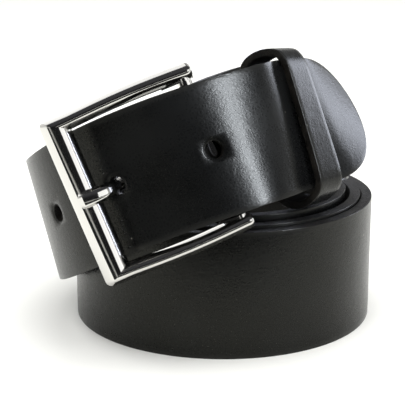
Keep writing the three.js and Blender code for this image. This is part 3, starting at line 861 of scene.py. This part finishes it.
# Studio: pale floor, soft lights, and the camera where the photograph was taken from
studio = {
    "lens": 110.2, "sensor": 36, "cameraAt": (0.000888, -0.395396, 0.1461), "pitch": 15.40,
    "frontTone": (0.015, 0.015, 0.016, 1), "backTone": (1, 1, 0.98, 1), "backOver": (-0.45, 0.35),
    "ceiling": (0.06, 0.06, 0.065, 1), "ceilingOver": (0.15, 0.7),
    "floorTones": ((0.9, 0.9, 0.865, 1), (0.92, 0.92, 0.885, 1)), "floorScale": 3.0, "floorHalf": 6.0,
    "cardTone": (0.01, 0.01, 0.01, 1), "cardSize": (1.0, 0.5, 1), "cardAt": (0, -0.37, 0.001),
    "aim": (0, 0, 0.05),
    # degrees right of the front, degrees up, distance, width and height, brightness, tint, for what
    "lights": {
        "keyLight": (50, 20, 0.95, (0.13, 0.44), 78, (0.80, 0.845, 1), "leather"),
        "sideLight": (116, 18, 0.95, (0.32, 0.44), 11, (0.80, 0.845, 1), "leather"),
        "rearLight": (-148, 24, 0.95, (0.22, 0.42), 34, (0.80, 0.845, 1), "leather"),
        "platingKey": (58, 20, 0.95, (0.80, 0.50), 1.5, (1, 1, 1), "plating"),
        "platingSide": (116, 18, 0.95, (0.32, 0.44), 1.2, (0.9, 0.96, 1), "plating"),
        "platingRear": (-150, 30, 0.95, (0.7, 0.5), 1.1, (1, 1, 1), "plating"),
        "topLight": (0, 76, 1.1, (1.6, 1.3), 3.9, (1, 1, 1), "floor"),
        "backLight": (180, 52, 1.5, (1.8, 0.8), 2.6, (1, 1, 1), "floor"),
    },
}


# Lights for leather or plating show in its sheen alone, those for the floor make no sheen
def pointLight(name, turn, rise, distance, size, brightness, tint, use):
    turn, rise = math.radians(turn), math.radians(rise)
    way = Vector((math.sin(turn) * math.cos(rise), -math.cos(turn) * math.cos(rise), math.sin(rise)))
    data = bpy.data.lights.new(name, "AREA")
    data.shape = "RECTANGLE"
    data.size, data.size_y = size
    data.energy = brightness * math.pi * size[0] * size[1]
    data.color = tint
    light = bpy.data.objects.new(name, data)
    light.location = Vector(studio["aim"]) + way * distance
    light.rotation_euler = way.to_track_quat("Z", "Y").to_euler()
    light.visible_diffuse = use == "floor"
    light.visible_glossy = use != "floor"
    if use in litPieces:
        lit = bpy.data.collections.new(name + "Lit")
        for piece in litPieces[use]:
            lit.objects.link(piece)
        light.light_linking.receiver_collection = lit
    bpy.context.scene.collection.objects.link(light)


def stagePiece(mesh, name, material):
    data = bpy.data.meshes.new(name)
    mesh.to_mesh(data)
    mesh.free()
    data.materials.append(material)
    piece = bpy.data.objects.new(name, data)
    bpy.context.scene.collection.objects.link(piece)
    return piece


def makeFloor():
    material, wire = newMaterial("paleFloor")
    spot = wire.make("ShaderNodeTexCoord", None, None, "Object")
    cloud = noise(wire, spot, studio["floorScale"], {})
    finishMaterial(wire, {"Base Color": cloud.mix(*studio["floorTones"]), "Roughness": 0.9,
                          "Specular IOR Level": 0.0})
    mesh = bmesh.new()
    bmesh.ops.create_grid(mesh, x_segments=4, y_segments=4, size=studio["floorHalf"])
    stagePiece(mesh, "floor", material)


# A black card on the table, out of the picture, that only reflections see
def makeCard():
    material, wire = newMaterial("blackCard")
    finishMaterial(wire, {"Base Color": studio["cardTone"], "Roughness": 1.0, "Specular IOR Level": 0.0})
    mesh = bmesh.new()
    bmesh.ops.create_grid(mesh, x_segments=1, y_segments=1, size=0.5)
    bmesh.ops.scale(mesh, vec=studio["cardSize"], verts=mesh.verts[:])
    bmesh.ops.translate(mesh, vec=studio["cardAt"], verts=mesh.verts[:])
    card = stagePiece(mesh, "blackCard", material)
    card.visible_camera = card.visible_diffuse = card.visible_shadow = False


# White behind the belt, near black in front of it and dark grey overhead
def makeSurroundings():
    world = bpy.data.worlds.new("studio")
    bpy.context.scene.world = world
    world.use_nodes = True
    world.node_tree.nodes.clear()
    wire = Wire(world.node_tree)
    way = wire.make("ShaderNodeTexCoord", None, None, "Generated")
    towardBack = wire.make("ShaderNodeSeparateXYZ", None, {"Vector": way}, "Y").between(*studio["backOver"])
    upward = wire.make("ShaderNodeSeparateXYZ", None, {"Vector": way}, "Z").between(*studio["ceilingOver"])
    tone = upward.mix(towardBack.mix(studio["frontTone"], studio["backTone"]), studio["ceiling"])
    back = wire.make("ShaderNodeBackground", None, {"Color": tone, "Strength": 1.0})
    wire.make("ShaderNodeOutputWorld", None, {"Surface": back})


def makeCamera():
    data = bpy.data.cameras.new("camera")
    data.lens = studio["lens"]
    data.sensor_width = studio["sensor"]
    data.clip_start = 0.01
    camera = bpy.data.objects.new("camera", data)
    camera.location = studio["cameraAt"]
    camera.rotation_euler = (math.radians(90 - studio["pitch"]), 0, 0)
    bpy.context.scene.collection.objects.link(camera)
    bpy.context.scene.camera = camera
    bpy.context.scene.view_settings.view_transform = "Standard"


makeFloor()
makeCard()
makeSurroundings()
for name, light in studio["lights"].items():
    pointLight(name, *light)
makeCamera()
print("studio ready")
